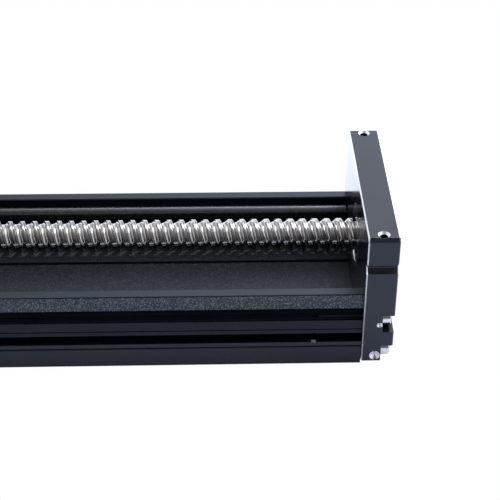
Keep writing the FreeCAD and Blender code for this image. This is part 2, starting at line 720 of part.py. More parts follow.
# ---- carriage ----
END_WALL = 5.8
END_WALL_HALF = 15.5
END_WALL_BOTTOM = 14.5
TABLE_SCREW = (33.0, 20.0)
TABLE_HOLE = (25.0, 22.0)
STUD_R = 2.5
STUD_THREAD_R = 2.0
STUD_THREAD_TOP = 37.0
ECCENTRICITY = 0.4
WIPER_X = 2.5
WIPER_BLOCK_Y = (21.6, 25.9)
WIPER_BLOCK_Z = (17.0, 33.0)
WIPER_SCREW = (23.6, 30.0)
WIPER_SCREW_HEAD = (1.8, 1.3)
WIPER_SCREW_LENGTH = 6.0
WIPER_SCREW_DEPTH = 5.0
BLOCK_CHAMFER = 0.8
TABLE_CHAMFER = 0.6
SCREW_TUNNEL_R = 8.0
NUT_SEAT_GAP = 0.02
NUT_SEAT_SPARE = 1.5
NUT_SCREW_DEPTH = 12.0
TABLE_SCREW_LENGTH = 12.0
TABLE_SCREW_DEPTH = 10.0
TABLE_HEAD_SUNK = 0.5
TABLE_HEAD_GAP = 0.4
TABLE_SCREW_SEAT = TABLE_TOP - M4_HEAD_H - TABLE_HEAD_SUNK
ROLLER_LAND = 0.35              # the rings' faces stand this far from the ball circle
ROLLER_SHIELD_HOLE = 0.30
ROLLER_BALLS = 8
STUD_HEAD = (3.4, 1.8)
STUD_KEY = (3.0, 1.0)           # across flats, depth
STUD_COLLAR_R = 3.3
STUD_SPARE = 0.5
COVER_SCREW_LENGTH = 11.0
RIGHT_BUMPER = (19.0, 39.0)


def table_screw_places():
    return [(CARRIAGE_X + sx * TABLE_SCREW[0], sy * TABLE_SCREW[1]) for sx in (-1, 1) for sy in (-1, 1)]


def roller_places():
    return {"rear_left": (-1, 1), "rear_right": (1, 1), "front_left": (-1, -1), "front_right": (1, -1)}


def roller_centre(name):
    sx, sy = roller_places()[name]
    return CARRIAGE_X + sx * ROLLER_DX, sy * ROLLER_Y


def stud_thread_y(name):
    """The front studs are eccentric, so their threads stand off the roller axis."""
    x, y = roller_centre(name)
    return y + ECCENTRICITY if y < 0 else y


def wiper_faces():
    """The two end faces of the carriage, each with its outward direction."""
    return [(CARRIAGE_X + s * CARRIAGE_HALF, s) for s in (-1, 1)]


def carriage_block():
    left = CARRIAGE_X - CARRIAGE_HALF
    right = CARRIAGE_X + CARRIAGE_HALF
    w = CARRIAGE_HALF_WIDTH
    block = box(left, right, -w, w, CARRIAGE_UNDERSIDE, CARRIAGE_TOP)
    along = [e for e in block.Edges if e.BoundBox.XLength > 1 and e.BoundBox.ZMin > CARRIAGE_UNDERSIDE + 1]
    block = block.makeChamfer(BLOCK_CHAMFER, along)
    for x0, x1 in ((left, left + END_WALL), (right - END_WALL, right)):
        block = block.fuse(box(x0, x1, -END_WALL_HALF, END_WALL_HALF, END_WALL_BOTTOM, CARRIAGE_UNDERSIDE))
    tools = [bar(left - PAST, NUT_END + NUT_SEAT_SPARE, NUT_R + NUT_SEAT_GAP),
             bar(left, right + PAST, SCREW_TUNNEL_R)]
    for y, z in flange_bolt_places():
        tools.append(bar(left - PAST, left + NUT_SCREW_DEPTH, M4_R, y, z))
    for x, y in table_screw_places():
        tools.append(post(x, y, CARRIAGE_TOP - TABLE_SCREW_DEPTH, CARRIAGE_TOP + PAST, M4_R))
    for name in roller_places():
        x, y = roller_centre(name)
        tools.append(post(x, stud_thread_y(name), CARRIAGE_UNDERSIDE - PAST, STUD_THREAD_TOP, STUD_THREAD_R))
    for x, s in wiper_faces():
        for side in (-1, 1):
            tools.append(bar(x - WIPER_SCREW_DEPTH, x + WIPER_SCREW_DEPTH, M2_R,
                             side * WIPER_SCREW[0], WIPER_SCREW[1]))
    for side in (-1, 1):
        tools.append(bar(right - BUMPER_STEM, right + PAST, BUMPER_STEM_R,
                         side * RIGHT_BUMPER[0], RIGHT_BUMPER[1]))
    return cut_all(block, tools)


def table_plate():
    left = CARRIAGE_X - CARRIAGE_HALF
    right = CARRIAGE_X + CARRIAGE_HALF
    w = TABLE_HALF_WIDTH
    plate = box(left, right, -w, w, CARRIAGE_TOP, TABLE_TOP)
    plate = plate.makeChamfer(TABLE_CHAMFER, plate.Edges)
    tools = []
    for x, y in table_screw_places():
        tools.append(post(x, y, CARRIAGE_TOP - PAST, TABLE_TOP, M4_CLEAR_R))
        tools.append(post(x, y, TABLE_SCREW_SEAT, TABLE_TOP + PAST, M4_HEAD_R + TABLE_HEAD_GAP))
    for sx in (-1, 1):
        for sy in (-1, 1):
            tools.append(post(CARRIAGE_X + sx * TABLE_HOLE[0], sy * TABLE_HOLE[1],
                              CARRIAGE_TOP - PAST, TABLE_TOP + PAST, M5_TAP_R))
    return cut_all(plate, tools)


def roller_band():
    """Bottom and top of a guide roller."""
    return ROD_Z - ROLLER_H / 2, ROD_Z + ROLLER_H / 2


def guide_roller(name):
    """Outer ring of a guide roller, with the groove that rides on the rod."""
    x, y = roller_centre(name)
    low, high = roller_band()
    ring = post(x, y, low, high, ROLLER_OUTER_R)
    ring = ring.makeChamfer(SMALL_CHAMFER, [e for e in ring.Edges if abs(e.BoundBox.ZLength) < SAME])
    groove = Part.makeTorus(ROLLER_ROOT_R + ROD_R + FIT, ROD_R + FIT, V(x, y, ROD_Z), AXIS_Z)
    bore = post(x, y, low - PAST, high + PAST, ROLLER_BALL_CIRCLE + ROLLER_LAND)
    race_cut = Part.makeTorus(ROLLER_BALL_CIRCLE, ROLLER_BALL_R + BALL_GAP, V(x, y, ROD_Z), AXIS_Z)
    return ring.cut(groove).cut(bore).cut(race_cut)


def roller_shields(name):
    x, y = roller_centre(name)
    low, high = roller_band()
    hole = post(x, y, low - PAST, high + PAST, ROLLER_BALL_CIRCLE - ROLLER_SHIELD_HOLE)
    starts = (low + SHIELD_T, high - 2 * SHIELD_T)
    return [post(x, y, z, z + SHIELD_T, ROLLER_BALL_CIRCLE + ROLLER_LAND).cut(hole) for z in starts]


def roller_inner_ring(name):
    x, y = roller_centre(name)
    low, high = roller_band()
    ring = post(x, y, low, high, ROLLER_BALL_CIRCLE - ROLLER_LAND)
    race_cut = Part.makeTorus(ROLLER_BALL_CIRCLE, ROLLER_BALL_R + BALL_GAP, V(x, y, ROD_Z), AXIS_Z)
    return ring.cut(post(x, y, low - PAST, high + PAST, STUD_R)).cut(race_cut)


def roller_balls(name):
    x, y = roller_centre(name)
    balls = []
    for k in range(ROLLER_BALLS):
        a = 2 * math.pi * k / ROLLER_BALLS
        place = V(x + ROLLER_BALL_CIRCLE * math.cos(a), y + ROLLER_BALL_CIRCLE * math.sin(a), ROD_Z)
        balls.append(Part.makeSphere(ROLLER_BALL_R, place))
    return balls


def roller_stud(name):
    """Headed stud that carries a guide roller and screws up into the block."""
    x, y = roller_centre(name)
    low, high = roller_band()
    head_r, head_h = STUD_HEAD
    across, depth = STUD_KEY
    head = post(x, y, low - head_h, low, head_r)
    head = head.cut(hexagon(across, depth + PAST, V(x, y, low - head_h - PAST), AXIS_Z))
    collar = post(x, y, high, CARRIAGE_UNDERSIDE, STUD_COLLAR_R)
    thread = post(x, stud_thread_y(name), CARRIAGE_UNDERSIDE, STUD_THREAD_TOP - STUD_SPARE, STUD_THREAD_R)
    return head.fuse([post(x, y, low, high, STUD_R), collar, thread]).removeSplitter()


def rod_wiper(x, s, side):
    """Scraper on the carriage end face with a round notch for the rod."""
    y0, y1 = WIPER_BLOCK_Y
    plate = box(min(x, x + s * WIPER_X), max(x, x + s * WIPER_X), y0, y1, *WIPER_BLOCK_Z)
    reach = WIPER_X + PAST
    plate = plate.cut(bar(x - reach, x + reach, ROD_R + WIPER_GAP, WALL_INNER, ROD_Z))
    plate = plate.cut(bar(x - reach, x + reach, M2_R + WIPER_GAP, *WIPER_SCREW))
    return plate if side > 0 else mirrored_y(plate)


def wiper_screw(x, s, side):
    seat = V(x + s * WIPER_X, side * WIPER_SCREW[0], WIPER_SCREW[1])
    return socket_screw(seat, AXIS_X * s, M2_R, *WIPER_SCREW_HEAD, WIPER_SCREW_LENGTH)


# ---- make every node ----
def make_rail_parts():
    keep("base_rail", base_rail())
    keep("guide_rod_front", guide_rod(-1))
    keep("guide_rod_rear", guide_rod(1))
    keep("end_plate", end_plate())
    keep("drive_block", drive_block())
    seat = RAIL_END + PLATE_THICK - BOLT_POCKET_DEPTH
    length = PLATE_THICK - BOLT_POCKET_DEPTH + SCREW_GRIP
    keep("end_plate_screws", *[socket_screw(V(seat, y, z), AXIS_X, M3_R, M3_HEAD_R, M3_HEAD_H, length)
                               for y, z in rail_bolt_places()])
    left_seat = BLOCK_LEFT + BLOCK_POCKET_DEPTH
    left_length = BLOCK_THICK - BLOCK_POCKET_DEPTH + SCREW_GRIP
    keep("drive_block_screws", *[socket_screw(V(left_seat, y, z), AXIS_X * -1, M3_R, M3_HEAD_R, M3_HEAD_H,
                                              left_length) for y, z in rail_bolt_places()])
    keep("drive_side_bumpers", *[bumper(-RAIL_END, 1, y, z) for y, z in bumper_places()])
    keep("bearing_cover", bearing_cover())
    keep("bearing_cover_screws", *[socket_screw(V(COVER_PLATE[0], y, z), AXIS_X * -1, M3_R, M3_HEAD_R,
                                                M3_HEAD_H, COVER_SCREW_LENGTH)
                                   for y, z in cover_screw_places()])
    keep("shaft_seal", shaft_seal())
    end = RAIL_END + PLATE_THICK
    keep("end_plug", bar(end - PLUG_THICK, end, PLUG_R))


def make_bearing_parts():
    keep("support_bearing_outer_ring", outer_ring(SUPPORT_BEARING))
    keep("support_bearing_inner_ring", inner_ring(SUPPORT_BEARING))
    keep("support_bearing_balls", *bearing_balls(SUPPORT_BEARING))
    keep("support_bearing_cage", bearing_cage(SUPPORT_BEARING))
    keep("support_bearing_shields", *bearing_shields(SUPPORT_BEARING))
    keep("drive_bearing_outer_rings", *[outer_ring(b) for b in DRIVE_BEARINGS])
    keep("drive_bearing_inner_rings", *[inner_ring(b) for b in DRIVE_BEARINGS])
    keep("drive_bearing_balls", *[ball for b in DRIVE_BEARINGS for ball in bearing_balls(b)])
    keep("drive_bearing_cages", *[bearing_cage(b) for b in DRIVE_BEARINGS])


def make_screw_parts():
    bore = DRIVE_BEARINGS[0]["bore"]
    keep("screw_shaft", screw_shaft())
    keep("support_circlip", circlip())
    keep("inner_spacer", tube(DRIVE_BEARINGS[-1]["x"] + DRIVE_BEARING_WIDTH, THREAD_START, SPACER_R, bore))
    keep("outer_spacer", tube(LOCK_NUT[1], DRIVE_BEARINGS[0]["x"], SPACER_R, bore))
    keep("lock_nut", lock_nut())
    keep("lock_nut_set_screw", lock_nut_set_screw())


def make_carriage_parts():
    keep("carriage_block", carriage_block())
    keep("table_plate", table_plate())
    keep("table_screws", *[socket_screw(V(x, y, TABLE_SCREW_SEAT), AXIS_Z, M4_R, M4_HEAD_R, M4_HEAD_H,
                                        TABLE_SCREW_LENGTH) for x, y in table_screw_places()])
    keep("ball_nut", ball_nut())
    keep("nut_balls", *nut_balls())
    keep("ball_deflectors", *ball_deflectors())
    keep("nut_wipers", *nut_wipers())
    keep("grease_nipple", grease_nipple())
    keep("nut_flange_screws", *[socket_screw(V(FLANGE_X, y, z), AXIS_X * -1, M4_R, M4_HEAD_R, M4_HEAD_H,
                                             FLANGE_SCREW_LENGTH) for y, z in flange_bolt_places()])
    names = roller_places()
    keep("roller_inner_rings", *[roller_inner_ring(n) for n in names])
    keep("roller_balls", *[ball for n in names for ball in roller_balls(n)])
    keep("roller_studs_fixed", *[roller_stud(n) for n in names if n.startswith("rear")])
    keep("roller_studs_eccentric", *[roller_stud(n) for n in names if n.startswith("front")])
    for n in names:
        keep("guide_roller_" + n, guide_roller(n))
        keep("roller_shields_" + n, *roller_shields(n))
    keep("rod_wipers", *[rod_wiper(x, s, side) for x, s in wiper_faces() for side in (-1, 1)])
    keep("wiper_screws", *[wiper_screw(x, s, side) for x, s in wiper_faces() for side in (-1, 1)])
    right = CARRIAGE_X + CARRIAGE_HALF
    keep("carriage_bumpers", *[bumper(right, 1, side * RIGHT_BUMPER[0], RIGHT_BUMPER[1]) for side in (-1, 1)])


os.makedirs("parts", exist_ok=True)
make_rail_parts()
make_bearing_parts()
make_screw_parts()
make_carriage_parts()
for node, shape in NODES.items():
    if not shape.isValid():
        print("not valid:", node)
    for solid in shape.Solids:
        if solid.Volume <= 0:
            print("no volume:", node)
    shape.exportStep("parts/" + node + ".step")
print(len(NODES), "nodes")
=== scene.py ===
import json
import math

import bmesh
import bpy
from mathutils import Matrix, Vector


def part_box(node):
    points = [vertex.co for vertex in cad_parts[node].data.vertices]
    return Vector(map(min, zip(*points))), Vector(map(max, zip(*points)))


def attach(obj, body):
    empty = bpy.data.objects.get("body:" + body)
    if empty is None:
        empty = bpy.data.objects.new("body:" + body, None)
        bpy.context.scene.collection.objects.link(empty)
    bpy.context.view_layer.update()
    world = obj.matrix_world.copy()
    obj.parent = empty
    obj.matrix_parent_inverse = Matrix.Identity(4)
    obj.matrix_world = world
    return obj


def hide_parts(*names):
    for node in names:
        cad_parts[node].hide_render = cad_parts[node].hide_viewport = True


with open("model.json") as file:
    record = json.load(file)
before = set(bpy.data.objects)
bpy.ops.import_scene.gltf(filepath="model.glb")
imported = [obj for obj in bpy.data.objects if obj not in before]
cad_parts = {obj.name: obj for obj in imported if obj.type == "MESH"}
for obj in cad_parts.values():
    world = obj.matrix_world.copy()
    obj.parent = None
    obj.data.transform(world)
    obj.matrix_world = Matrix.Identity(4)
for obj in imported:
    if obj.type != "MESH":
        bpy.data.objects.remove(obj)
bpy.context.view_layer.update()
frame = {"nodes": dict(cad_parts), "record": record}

MM = 0.001

scene = bpy.context.scene
nodes = frame["nodes"]

# ---- places read from the frame, in millimetres ----
def low(node):
    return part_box(node)[0] / MM


def high(node):
    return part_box(node)[1] / MM


SCREW_Z = (low("ball_nut").z + high("ball_nut").z) / 2
SCREW_R = (high("screw_shaft").z - low("screw_shaft").z) / 2
WALL_TOP = high("base_rail").z
PLATE_LEFT = low("end_plate").x
BLOCK_RIGHT = high("drive_block").x


# ---- camera: millimetres and degrees ----
CAMERA_PLACE = (90.2, -454.8, 332.1)
CAMERA_YAW = 3.154
CAMERA_PITCH = 34.15
CAMERA_ROLL = 1.153
CAMERA_LENS = 119.2
CAMERA_SENSOR = 36
CAMERA_RANGE = (0.01, 20)        # metres


def add_camera():
    yaw = math.radians(CAMERA_YAW)
    pitch = math.radians(CAMERA_PITCH)
    roll = math.radians(CAMERA_ROLL)
    reach = math.cos(pitch)
    forward = Vector((math.sin(yaw) * reach, math.cos(yaw) * reach, -math.sin(pitch)))
    level = Vector((math.cos(yaw), -math.sin(yaw), 0))
    upright = level.cross(forward)
    right = math.cos(roll) * level + math.sin(roll) * upright
    up = math.cos(roll) * upright - math.sin(roll) * level
    data = bpy.data.cameras.new("camera")
    data.lens = CAMERA_LENS
    data.sensor_width = CAMERA_SENSOR
    data.clip_start, data.clip_end = CAMERA_RANGE
    camera = bpy.data.objects.new("camera", data)
    turn = Matrix((right, up, -forward)).transposed().to_4x4()
    camera.matrix_world = Matrix.Translation(Vector(CAMERA_PLACE) * MM) @ turn
    scene.collection.objects.link(camera)
    scene.camera = camera


# ---- light ----
TOP_LIGHT_PLACE = (0.25, 0.25, 0.9)      # metres
TOP_LIGHT_TARGET = (0.05, 0, 0)
TOP_LIGHT_SIZE = (0.8, 0.5)
TOP_LIGHT_POWER = 3


def add_top_light():
    data = bpy.data.lights.new("top_light", "AREA")
    data.shape = "RECTANGLE"
    data.size, data.size_y = TOP_LIGHT_SIZE
    data.energy = TOP_LIGHT_POWER
    lamp = bpy.data.objects.new("top_light", data)
    lamp.location = TOP_LIGHT_PLACE
    aim = Vector(TOP_LIGHT_TARGET) - Vector(TOP_LIGHT_PLACE)
    lamp.rotation_euler = aim.to_track_quat("-Z", "Y").to_euler()
    scene.collection.objects.link(lamp)


# Brightness of the studio by direction: along Y first (-1 is the camera's side, 1 is behind), then along X.
STUDIO_BY_Y = [
    (-1.0, 0.03),
    (-0.36, 0.04),
    (-0.24, 2.4),
    (0.10, 2.2),
    (0.30, 1.2),
    (0.70, 0.9),
    (0.80, 0.75),
    (0.87, 1.6),
    (1.0, 1.5),
]
STUDIO_BY_X = {"From Min": -0.17, "From Max": 0.10, "To Min": 0.45, "To Max": 1.25}
STUDIO_TINT = (0.88, 0.93, 1.06)
# Soft boxes to the left and right, seen only by faces that turn far to a side.
SIDE_BOXES = {"From Min": 0.34, "From Max": 0.60, "To Min": 0.0, "To Max": 0.9}
ABOVE_FLOOR = {"From Min": 0.02, "From Max": 0.20}
BACKDROP_BRIGHTNESS = 1.05       # what the camera sees behind the object


def add_world():
    """A white backdrop behind and overhead, brighter to the right, and a dark room on the camera's side."""
    world = bpy.data.worlds.new("studio")
    world.use_nodes = True
    tree = world.node_tree
    tree.nodes.clear()
    kinds = {
        "out": "OutputWorld",
        "studio": "Background",
        "backdrop": "Background",
        "pick": "MixShader",
        "ray": "LightPath",
        "place": "TexCoord",
        "parts": "SeparateXYZ",
        "along_y": "ValToRGB",
        "half": "MapRange",
        "along_x": "MapRange",
        "strength": "Math",
        "aside": "Math",
        "boxes": "MapRange",
        "above": "MapRange",
        "side": "Math",
        "boxes_light": "Background",
        "lit": "AddShader",
    }
    made = {name: tree.nodes.new("ShaderNode" + kind) for name, kind in kinds.items()}
    made["half"].inputs["From Min"].default_value = -1
    for name, value in STUDIO_BY_X.items():
        made["along_x"].inputs[name].default_value = value
    for name, value in SIDE_BOXES.items():
        made["boxes"].inputs[name].default_value = value
    for name, value in ABOVE_FLOOR.items():
        made["above"].inputs[name].default_value = value
    peak = max(value for y, value in STUDIO_BY_Y)
    made["strength"].operation = "MULTIPLY"
    made["strength"].inputs[1].default_value = peak
    made["aside"].operation = "ABSOLUTE"
    made["side"].operation = "MULTIPLY"
    stops = made["along_y"].color_ramp.elements
    stops.remove(stops[0])
    for k, (y, value) in enumerate(STUDIO_BY_Y):
        stop = stops[0] if k == 0 else stops.new(0)
        stop.position = (y + 1) / 2
        stop.color = (*[value / peak * c for c in STUDIO_TINT], 1)
    links = [
        (made["place"].outputs["Generated"], made["parts"].inputs[0]),
        (made["parts"].outputs["Y"], made["half"].inputs["Value"]),
        (made["half"].outputs[0], made["along_y"].inputs[0]),
        (made["along_y"].outputs[0], made["studio"].inputs["Color"]),
        (made["parts"].outputs["X"], made["along_x"].inputs["Value"]),
        (made["along_x"].outputs[0], made["strength"].inputs[0]),
        (made["strength"].outputs[0], made["studio"].inputs["Strength"]),
        (made["ray"].outputs["Is Camera Ray"], made["pick"].inputs[0]),
        (made["parts"].outputs["X"], made["aside"].inputs[0]),
        (made["aside"].outputs[0], made["boxes"].inputs["Value"]),
        (made["parts"].outputs["Z"], made["above"].inputs["Value"]),
        (made["boxes"].outputs[0], made["side"].inputs[0]),
        (made["above"].outputs[0], made["side"].inputs[1]),
        (made["side"].outputs[0], made["boxes_light"].inputs["Strength"]),
        (made["studio"].outputs[0], made["lit"].inputs[0]),
        (made["boxes_light"].outputs[0], made["lit"].inputs[1]),
        (made["lit"].outputs[0], made["pick"].inputs[1]),
        (made["backdrop"].outputs[0], made["pick"].inputs[2]),
        (made["pick"].outputs[0], made["out"].inputs[0]),
    ]
    for a, b in links:
        tree.links.new(a, b)
    made["backdrop"].inputs["Color"].default_value = (1, 1, 1, 1)
    made["backdrop"].inputs["Strength"].default_value = BACKDROP_BRIGHTNESS
    scene.world = world


FLOOR_HALF = 3.0                 # metres
FLOOR_GAP = 0.2                  # how far the floor is below the rail's underside
FLOOR_GLOW = {"From Min": -0.02, "From Max": 0.12, "To Min": 0.17, "To Max": 1.3}


def add_floor():
    """Pale floor: plain white where it is seen; matt, and brighter behind, where it lights the rail."""
    mesh = bpy.data.meshes.new("floor")
    ground = (low("base_rail").z - FLOOR_GAP) * MM
    corners = [(x * FLOOR_HALF, y * FLOOR_HALF, ground) for x, y in ((-1, -1), (1, -1), (1, 1), (-1, 1))]
    mesh.from_pydata(corners, [], [(0, 1, 2, 3)])
    floor = bpy.data.objects.new("floor", mesh)
    scene.collection.objects.link(floor)
    material = bpy.data.materials.new("floor")
    material.use_nodes = True
    tree = material.node_tree
    shader = tree.nodes["Principled BSDF"]
    shader.inputs["Base Color"].default_value = (0.70, 0.74, 0.84, 1)
    shader.inputs["Roughness"].default_value = 0.9
    shader.inputs["Specular IOR Level"].default_value = 0
    shader.inputs["Emission Color"].default_value = (0.93, 0.97, 1.0, 1)
    place = tree.nodes.new("ShaderNodeTexCoord")
    parts = tree.nodes.new("ShaderNodeSeparateXYZ")
    glow = tree.nodes.new("ShaderNodeMapRange")
    for name, value in FLOOR_GLOW.items():
        glow.inputs[name].default_value = value
    white = tree.nodes.new("ShaderNodeEmission")
    ray = tree.nodes.new("ShaderNodeLightPath")
    pick = tree.nodes.new("ShaderNodeMixShader")
    tree.links.new(place.outputs["Object"], parts.inputs[0])
    tree.links.new(parts.outputs["Y"], glow.inputs["Value"])
    tree.links.new(glow.outputs[0], shader.inputs["Emission Strength"])
    tree.links.new(ray.outputs["Is Camera Ray"], pick.inputs[0])
    tree.links.new(shader.outputs[0], pick.inputs[1])
    tree.links.new(white.outputs[0], pick.inputs[2])
    tree.links.new(pick.outputs[0], tree.nodes["Material Output"].inputs["Surface"])
    mesh.materials.append(material)


# ---- materials: grain scales are grains per metre, depths are metres ----
NOISE_SPAN = (0.3, 0.7)          # the part of a noise texture's values that holds nearly all of them


class Surface:
    """One procedural material: a Principled shader with short calls for its parts."""

    def __init__(self, name, color, roughness, metallic=0.0):
        self.material = bpy.data.materials.new(name)
        self.material.use_nodes = True
        self.tree = self.material.node_tree
        self.shader = self.tree.nodes["Principled BSDF"]
        self.color = color
        self.set("Base Color", (*color, 1))
        self.set("Roughness", roughness)
        self.set("Metallic", metallic)
        self.place = self.node("ShaderNodeTexCoord").outputs["Object"]

    def node(self, kind, **values):
        made = self.tree.nodes.new(kind)
        for key, value in values.items():
            setattr(made, key, value)
        return made

    def set(self, name, value):
        self.shader.inputs[name].default_value = value

    def link(self, a, b):
        self.tree.links.new(a, b)

    def noise(self, scale, detail=2.0, stretch=(1, 1, 1)):
        """Noise of a given number of grains per metre, stretched along an axis if asked."""
        mapping = self.node("ShaderNodeMapping")
        mapping.inputs["Scale"].default_value = stretch
        self.link(self.place, mapping.inputs["Vector"])
        texture = self.node("ShaderNodeTexNoise")
        texture.inputs["Scale"].default_value = scale
        texture.inputs["Detail"].default_value = detail
        self.link(mapping.outputs[0], texture.inputs["Vector"])
        return texture.outputs["Fac"]

    def between(self, value, from_range, to_range):
        remap = self.node("ShaderNodeMapRange")
        remap.inputs["From Min"].default_value = from_range[0]
        remap.inputs["From Max"].default_value = from_range[1]
        remap.inputs["To Min"].default_value = to_range[0]
        remap.inputs["To Max"].default_value = to_range[1]
        self.link(value, remap.inputs["Value"])
        return remap.outputs[0]

    def vary_roughness(self, value, least, most):
        self.link(self.between(value, NOISE_SPAN, (least, most)), self.shader.inputs["Roughness"])

    def vary_color(self, value, other):
        mix = self.node("ShaderNodeMix", data_type="RGBA")
        mix.inputs["A"].default_value = (*self.color, 1)
        mix.inputs["B"].default_value = (*other, 1)
        self.link(value, mix.inputs["Factor"])
        self.link(mix.outputs["Result"], self.shader.inputs["Base Color"])

    def bump(self, value, depth):
        relief = self.node("ShaderNodeBump")
        relief.inputs["Distance"].default_value = depth
        relief.inputs["Strength"].default_value = 1
        self.link(value, relief.inputs["Height"])
        self.link(relief.outputs[0], self.shader.inputs["Normal"])


ANODISED = (0.0030, 0.0034, 0.0060)
ANODISED_WORN = (0.0050, 0.0055, 0.0085)
ANODISED_TINT = (0.80, 0.87, 1.0)
ANODISED_IOR = 1.5
BLASTED_SCALE = 2900
GLINT_SPAN = (0.50, 0.68)        # grain values over which a painted glint, a paler point, fades in


def anodised(name, roughness, grain_depth, glint_paint=0.0, gloss=0.5):
    """Black anodised aluminium. Its fourth argument sets how far the blasted grain shows as paler points:
    painted glints that stand in for light sparkling off the grain.
    """
    surface = Surface(name, ANODISED, roughness)
    surface.set("IOR", ANODISED_IOR)
    surface.set("Specular Tint", (*ANODISED_TINT, 1))
    surface.set("Specular IOR Level", gloss)
    grain = surface.noise(BLASTED_SCALE, 1.5)
    # painted glints: paler points mixed into the colour where the grain peaks, standing in for light
    # sparkling off it
    if glint_paint:
        glint_color = tuple(glint_paint * c for c in ANODISED_TINT)
        surface.vary_color(surface.between(grain, GLINT_SPAN, (0, 1)), glint_color)
    else:
        wear = surface.noise(90, 3)
        surface.vary_color(surface.between(wear, NOISE_SPAN, (0, 1)), ANODISED_WORN)
    surface.vary_roughness(surface.noise(700, 2), roughness * 0.9, roughness * 1.12)
    surface.bump(grain, grain_depth)
    return surface.material


def steel(name, color, roughness, grain=None, depth=0.0, scale=3000):
    """Metal, with fine machining lines if a grain stretch is given."""
    surface = Surface(name, color, roughness, 1.0)
    surface.vary_roughness(surface.noise(400, 2), roughness * 0.8, roughness * 1.25)
    surface.vary_color(surface.noise(130, 3), tuple(c * 0.82 for c in color))
    if grain:
        surface.bump(surface.noise(scale, 2, grain), depth)
    return surface.material


def plain(name, color, roughness, depth=0.00002):
    """Rubber, plastic, or flat black used as painted shade, with a fine grain."""
    surface = Surface(name, color, roughness)
    surface.vary_color(surface.noise(200, 3), tuple(c * 0.8 for c in color))
    surface.bump(surface.noise(2500, 2), depth)
    return surface.material


def make_materials():
    return {
        "rail": anodised("rail_anodised", 0.30, 0.000004),
        # the channel floor and the grained side get painted glints, paler points, on their grain
        "rail_floor": anodised("rail_floor_anodised", 0.32, 0.000020, 0.07),
        "rail_grain_and_glints": anodised("rail_grain_and_glint_anodised", 0.25, 0.000030, 0.18),
        "rail_shade": anodised("rail_band_anodised", 0.30, 0.000004, gloss=0.27),
        # painted shade: the cove gets a copy that barely reflects, so it reads dark
        "rail_cove": anodised("rail_cove_anodised", 0.34, 0.000004, gloss=0.03),
        "cut": steel("cut_aluminium", (0.90, 0.90, 0.92), 0.6),
        # painted shade: flat black put where shade falls, on the plates' side grooves and on the screw
        # shanks in the cove
        "gap": plain("painted_shade_black", (0.004, 0.004, 0.006), 0.8),
        "plate": anodised("plate_anodised", 0.18, 0.000002, gloss=0.55),
        "bare": steel("bare_aluminium", (0.88, 0.89, 0.92), 0.30),
        "screw": steel("screw_steel", (0.45, 0.43, 0.41), 0.13, (1, 0.03, 0.03), 0.000006, 9000),
        "rod": steel("rod_steel", (0.15, 0.15, 0.155), 0.30, (0.1, 4, 4), 0.000002),
        "ground": steel("ground_steel", (0.62, 0.62, 0.62), 0.2, (4, 1, 1), 0.000003),
        "bright": steel("bright_steel", (0.80, 0.80, 0.79), 0.22),
        "nut": steel("nut_steel", (0.42, 0.42, 0.43), 0.28, (5, 1, 1), 0.000004),
        "dark": steel("black_oxide", (0.05, 0.05, 0.05), 0.4),
        "brass": steel("brass", (0.72, 0.52, 0.24), 0.28),
        "rubber": plain("rubber", (0.015, 0.015, 0.015), 0.75),
        "black": plain("black_plastic", (0.02, 0.02, 0.022), 0.5),
        "white": plain("white_plastic", (0.72, 0.71, 0.67), 0.45),
    }


SLOT_OF = {part["node"]: part["material_slot"] for part in frame["record"]["subparts"]}


def paint_nodes(materials):
    by_slot = {
        "anodised_black": "plate",
        "rod_steel": "rod",
        "screw_steel": "screw",
        "nut_steel": "nut",
        "bearing_steel": "ground",
        "fastener_steel": "bright",
        "dark_steel": "dark",
        "cage_brass": "brass",
        "rubber_black": "rubber",
        "black_plastic": "black",
        "wiper_plastic": "white",
    }
    for name, node in nodes.items():
        key = "rail" if name == "base_rail" else by_slot[SLOT_OF[name]]
        node.data.materials.clear()
        node.data.materials.append(materials[key])


# ---- finer pieces that stand for CAD nodes ----
BODIES = frame["record"]["behaviour"]["bodies"]
BODY_OF = {node: body for body, members in BODIES.items() for node in members}

JOIN_DISTANCE = 0.002            # mm, for the points that a node's faces share
FLAT_ANGLE = math.radians(0.5)   # faces that meet at less are one face
EDGE_ANGLE = 0.6                 # radians; edges that turn by more are real edges


def stand_for(node, mesh, *finishes):
    """A piece with this mesh and these finishes that takes the node's place and body, and hides the node.
    """
    piece = bpy.data.objects.new(node + "_finish", mesh)
    scene.collection.objects.link(piece)
    mesh.materials.clear()
    for finish in finishes:
        mesh.materials.append(finish)
    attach(piece, BODY_OF[node])
    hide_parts(node)


def soft_edged_copy(node, width):
    """The node's own shape with its convex edges rounded by a small width, in millimetres."""
    mesh = bpy.data.meshes.new(node + "_finish")
    shape = bmesh.new()
    shape.from_mesh(nodes[node].data)
    bmesh.ops.remove_doubles(shape, verts=shape.verts, dist=JOIN_DISTANCE * MM)
    bmesh.ops.dissolve_limit(shape, angle_limit=FLAT_ANGLE, verts=shape.verts, edges=shape.edges)
    inner = [edge for edge in shape.edges if len(edge.link_faces) == 2]
    sharp = [edge for edge in inner if edge.is_convex and edge.calc_face_angle() > EDGE_ANGLE]
    rounded = bmesh.ops.bevel(
        shape, geom=sharp, offset=width * MM, segments=2, profile=0.5, affect="EDGES", clamp_overlap=True
    )
    strips = set(rounded["faces"])
    for face in shape.faces:
        face.smooth = True
    for edge in shape.edges:
        sides = edge.link_faces
        flat_side = len(sides) != 2 or (sides[0] in strips) != (sides[1] in strips)
        edge.smooth = not flat_side and edge.calc_face_angle() < EDGE_ANGLE
    shape.to_mesh(mesh)
    shape.free()
    return mesh


